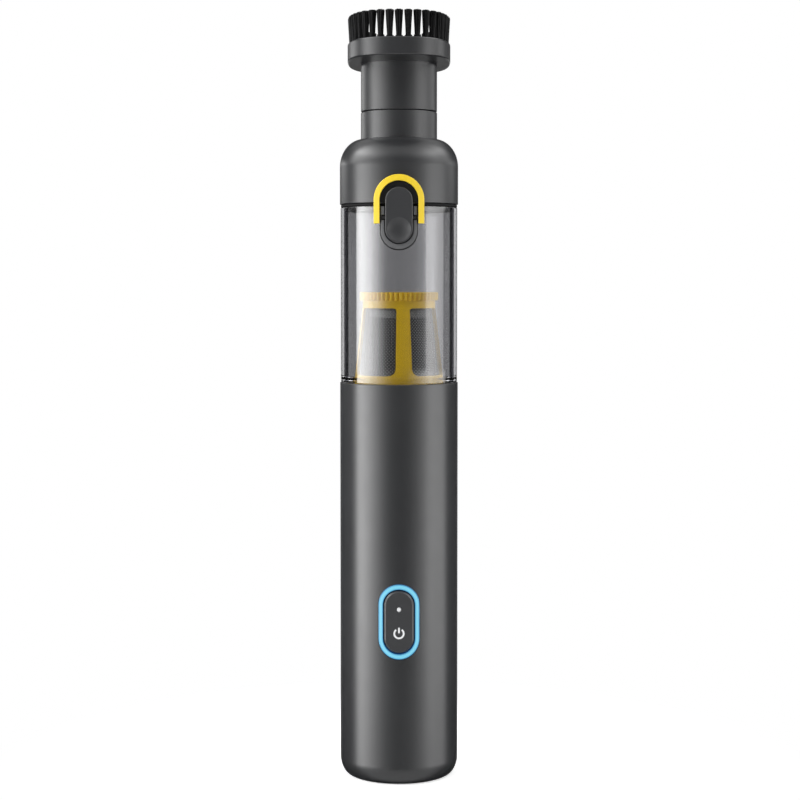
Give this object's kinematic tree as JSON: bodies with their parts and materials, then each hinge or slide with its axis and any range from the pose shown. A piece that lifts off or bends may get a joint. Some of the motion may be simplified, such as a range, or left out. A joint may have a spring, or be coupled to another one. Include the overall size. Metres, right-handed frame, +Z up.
{
  "type": "cordless car vacuum cleaner",
  "caption": "Slim cordless hand vacuum: round handle with a lit power button, clear dust cup with a filter, latched hinged nozzle cap and an oval brush nozzle.",
  "frame": {"origin": "middle of the handle's flat foot, under the whole part", "axes": "+Z up the barrel from the foot to the brush, -Y the front with the power button and the latch, +Y the back with the cap's hinge, the exhaust slots and the charging port"},
  "size_m": [0.055, 0.0788, 0.3519],
  "materials": {
    "dark_shell": "satin dark grey shell",
    "light_guide": "milky light guide, lit pale blue",
    "button_plastic": "satin",
    "lens_plastic": "white lens",
    "yellow_plastic": "glossy yellow",
    "clear_plastic": "clear, very lightly smoked plastic",
    "black_plastic": "matte",
    "grey_plastic": "matte",
    "pale_plastic": "matte",
    "black_rubber": "matte",
    "filter_mesh": "fine woven mesh",
    "filter_cloth": "pleated filter cloth",
    "circuit_board": "green lacquer",
    "cell_sleeve": "blue film sleeve over a metal cell",
    "motor_metal": "satin plated can",
    "steel": "plain steel",
    "red_lead": "soft wire sleeve",
    "black_lead": "soft wire sleeve",
    "bristle": "black nylon bristles"
  },
  "bodies": {
    "handle": {"handle_casing": "dark_shell", "light_ring": "light_guide", "button_carrier": "black_plastic", "tactile_switch": "black_plastic", "main_board": "circuit_board", "charging_board": "circuit_board", "charging_socket": "steel", "battery_cell_1": "cell_sleeve", "battery_cell_2": "cell_sleeve", "battery_cell_3": "cell_sleeve", "lower_battery_tray": "black_plastic", "upper_battery_tray": "black_plastic", "tray_screw_1": "steel", "tray_screw_2": "steel", "motor_can": "motor_metal", "motor_cradle": "black_rubber", "motor_mount": "black_plastic", "fan_shroud": "black_plastic", "inlet_grille": "black_plastic", "motor_lead_left": "red_lead", "motor_lead_right": "black_lead"},
    "fan": {"impeller": "pale_plastic", "motor_shaft": "steel"},
    "button": {"power_button": "button_plastic", "status_lens": "lens_plastic"},
    "filter": {"filter_cage": "yellow_plastic", "mesh_sleeve": "filter_mesh", "pleated_filter": "filter_cloth", "pleat_rim": "grey_plastic", "pleat_foot": "grey_plastic", "filter_gasket": "black_rubber"},
    "cup": {"dust_cup": "clear_plastic", "cup_seal": "black_rubber", "latch_base": "dark_shell", "latch_pin": "black_plastic", "latch_spring": "steel", "hinge_bracket": "dark_shell", "hinge_pin": "steel"},
    "lever": {"latch_lever": "dark_shell"},
    "cap": {"nozzle_cap": "dark_shell", "cap_seal": "black_rubber", "arch_trim": "yellow_plastic"},
    "flap": {"inlet_flap": "black_rubber"},
    "nozzle_ring": {"nozzle_seal": "black_rubber"},
    "brush": {"brush_nozzle": "dark_shell", "bristle_strip_left": "bristle", "bristle_strip_front": "bristle", "bristle_strip_right": "bristle", "bristle_strip_rear": "bristle"}
  },
  "joints": [
    {"name": "fan_spin", "type": "hinge", "parent": "handle", "child": "fan", "pos_m": [0, 0, 0.15], "axis": [0, 0, 1], "continuous": true},
    {"name": "button_press", "type": "slide", "parent": "handle", "child": "button", "axis": [0, 1, 0], "range_m": [0, 0.0008], "stiffness_N_per_m": 1000, "springref_m": -0.001},
    {"name": "filter_lift", "type": "slide", "parent": "handle", "child": "filter", "axis": [0, 0, 1], "range_m": [0, 0.015]},
    {"name": "cup_lift", "type": "slide", "parent": "handle", "child": "cup", "axis": [0, 0, 1], "range_m": [0, 0.06]},
    {"name": "lever_tilt", "type": "hinge", "parent": "cup", "child": "lever", "pos_m": [0, -0.0261, 0.26], "axis": [1, 0, 0], "range_deg": [0, 5], "stiffness_Nm_per_rad": 0.5, "springref_deg": -5.73},
    {"name": "cap_open", "type": "hinge", "parent": "cup", "child": "cap", "pos_m": [0, 0.0304, 0.266], "axis": [-1, 0, 0], "range_deg": [0, 100]},
    {"name": "flap_swing", "type": "hinge", "parent": "cap", "child": "flap", "pos_m": [0, 0.0164, 0.2683], "axis": [1, 0, 0], "range_deg": [0, 50], "stiffness_Nm_per_rad": 0.002, "springref_deg": -17.19},
    {"name": "nozzle_pull", "type": "slide", "parent": "cap", "child": "nozzle_ring", "axis": [0, 0, 1], "range_m": [0, 0.025]},
    {"name": "brush_turn", "type": "hinge", "parent": "nozzle_ring", "child": "brush", "pos_m": [0, 0, 0.31], "axis": [0, 0, 1], "continuous": true}
  ]
}
